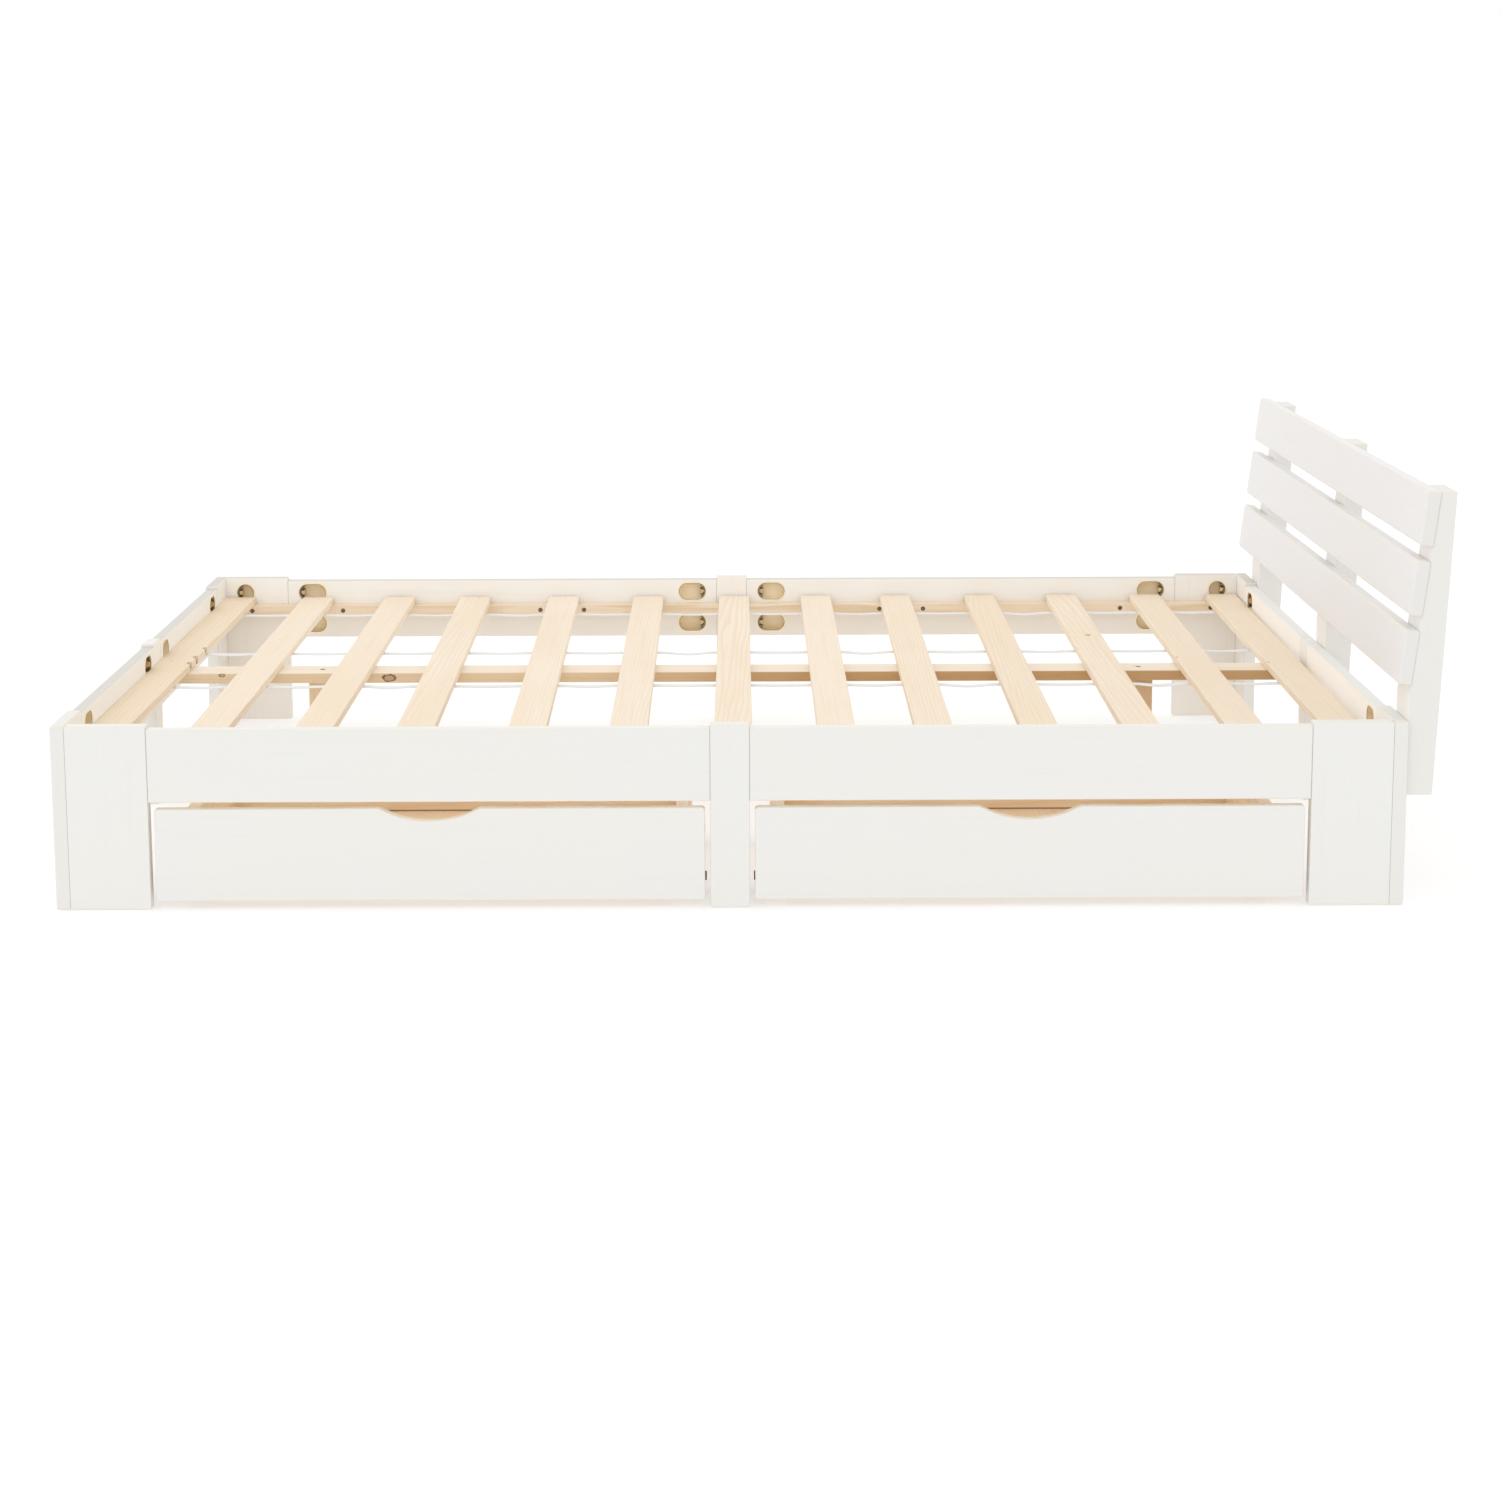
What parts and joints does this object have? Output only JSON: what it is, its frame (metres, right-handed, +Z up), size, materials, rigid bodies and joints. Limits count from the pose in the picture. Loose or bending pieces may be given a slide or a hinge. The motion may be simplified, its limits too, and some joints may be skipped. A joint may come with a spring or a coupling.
{
  "type": "wooden bed frame",
  "caption": "Low double bed frame with a reclined plank headboard, loose cross slats and rolling underbed drawers along one long side.",
  "frame": {"origin": "on the floor, at the middle of the overall length (headboard included) and of the width", "axes": "+X from the foot end to the head end, +Y from the drawer side to the far side, +Z up"},
  "size_m": [2.1329, 1.46, 0.6419],
  "materials": {
    "white_paint": "satin white paint on pine",
    "natural_pine": "planed, unfinished",
    "drawer_pine": "planed, unfinished",
    "yellow_zinc": "yellow zinc plated",
    "zinc_steel": "zinc plated",
    "dark_steel": "blackened",
    "grey_plastic": "moulded, matt",
    "webbing": "woven tape"
  },
  "bodies": {
    "frame": {"back_centre_post": "white_paint", "back_rail_foot": "white_paint", "back_rail_head": "white_paint", "beam_legs": "natural_pine", "centre_beam": "natural_pine", "connector_bolts": "yellow_zinc", "crescent_washers": "zinc_steel", "foot_back_corner_end_board": "white_paint", "foot_back_corner_side_board": "white_paint", "foot_centre_post": "white_paint", "foot_front_corner_end_board": "white_paint", "foot_front_corner_side_board": "white_paint", "foot_rail_back": "white_paint", "foot_rail_front": "white_paint", "front_centre_post": "white_paint", "front_rail_foot": "white_paint", "front_rail_head": "white_paint", "head_back_corner_end_board": "white_paint", "head_back_corner_side_board": "white_paint", "head_centre_post": "white_paint", "head_front_corner_end_board": "white_paint", "head_front_corner_side_board": "white_paint", "head_rail_back": "white_paint", "head_rail_front": "white_paint", "headboard_plank_bottom": "white_paint", "headboard_plank_middle": "white_paint", "headboard_plank_top": "white_paint", "headboard_post_back": "white_paint", "headboard_post_centre": "white_paint", "headboard_post_front": "white_paint", "ledgers": "natural_pine", "slat_01": "natural_pine", "slat_02": "natural_pine", "slat_03": "natural_pine", "slat_04": "natural_pine", "slat_05": "natural_pine", "slat_06": "natural_pine", "slat_07": "natural_pine", "slat_08": "natural_pine", "slat_09": "natural_pine", "slat_10": "natural_pine", "slat_11": "natural_pine", "slat_12": "natural_pine", "slat_13": "natural_pine", "slat_tapes": "webbing", "wood_screws": "zinc_steel"},
    "foot_drawer": {"foot_drawer_front": "white_paint", "foot_drawer_sides": "drawer_pine", "foot_drawer_back": "drawer_pine", "foot_drawer_bottom": "drawer_pine", "foot_drawer_axle_bolts": "dark_steel"},
    "foot_front_wheel_pair": {"foot_drawer_front_wheels": "grey_plastic"},
    "foot_rear_wheel_pair": {"foot_drawer_rear_wheels": "grey_plastic"},
    "head_drawer": {"head_drawer_front": "white_paint", "head_drawer_sides": "drawer_pine", "head_drawer_back": "drawer_pine", "head_drawer_bottom": "drawer_pine", "head_drawer_axle_bolts": "dark_steel"},
    "head_front_wheel_pair": {"head_drawer_front_wheels": "grey_plastic"},
    "head_rear_wheel_pair": {"head_drawer_rear_wheels": "grey_plastic"}
  },
  "joints": [
    {"name": "foot_drawer_slide", "type": "slide", "parent": "frame", "child": "foot_drawer", "axis": [0, -1, 0], "range_m": [0, 0.5]},
    {"name": "foot_front_wheels_roll", "type": "hinge", "parent": "foot_drawer", "child": "foot_front_wheel_pair", "pos_m": [-0.491, -0.63, 0.025], "axis": [1, 0, 0], "continuous": true},
    {"name": "foot_rear_wheels_roll", "type": "hinge", "parent": "foot_drawer", "child": "foot_rear_wheel_pair", "pos_m": [-0.491, -0.33, 0.025], "axis": [1, 0, 0], "continuous": true},
    {"name": "head_drawer_slide", "type": "slide", "parent": "frame", "child": "head_drawer", "axis": [0, -1, 0], "range_m": [0, 0.5]},
    {"name": "head_front_wheels_roll", "type": "hinge", "parent": "head_drawer", "child": "head_front_wheel_pair", "pos_m": [0.428, -0.63, 0.025], "axis": [1, 0, 0], "continuous": true},
    {"name": "head_rear_wheels_roll", "type": "hinge", "parent": "head_drawer", "child": "head_rear_wheel_pair", "pos_m": [0.428, -0.33, 0.025], "axis": [1, 0, 0], "continuous": true}
  ],
  "couplings": [
    {"joint": "foot_front_wheels_roll", "follows": "foot_drawer_slide", "rad_per_m": 40},
    {"joint": "foot_rear_wheels_roll", "follows": "foot_drawer_slide", "rad_per_m": 40},
    {"joint": "head_front_wheels_roll", "follows": "head_drawer_slide", "rad_per_m": 40},
    {"joint": "head_rear_wheels_roll", "follows": "head_drawer_slide", "rad_per_m": 40}
  ]
}
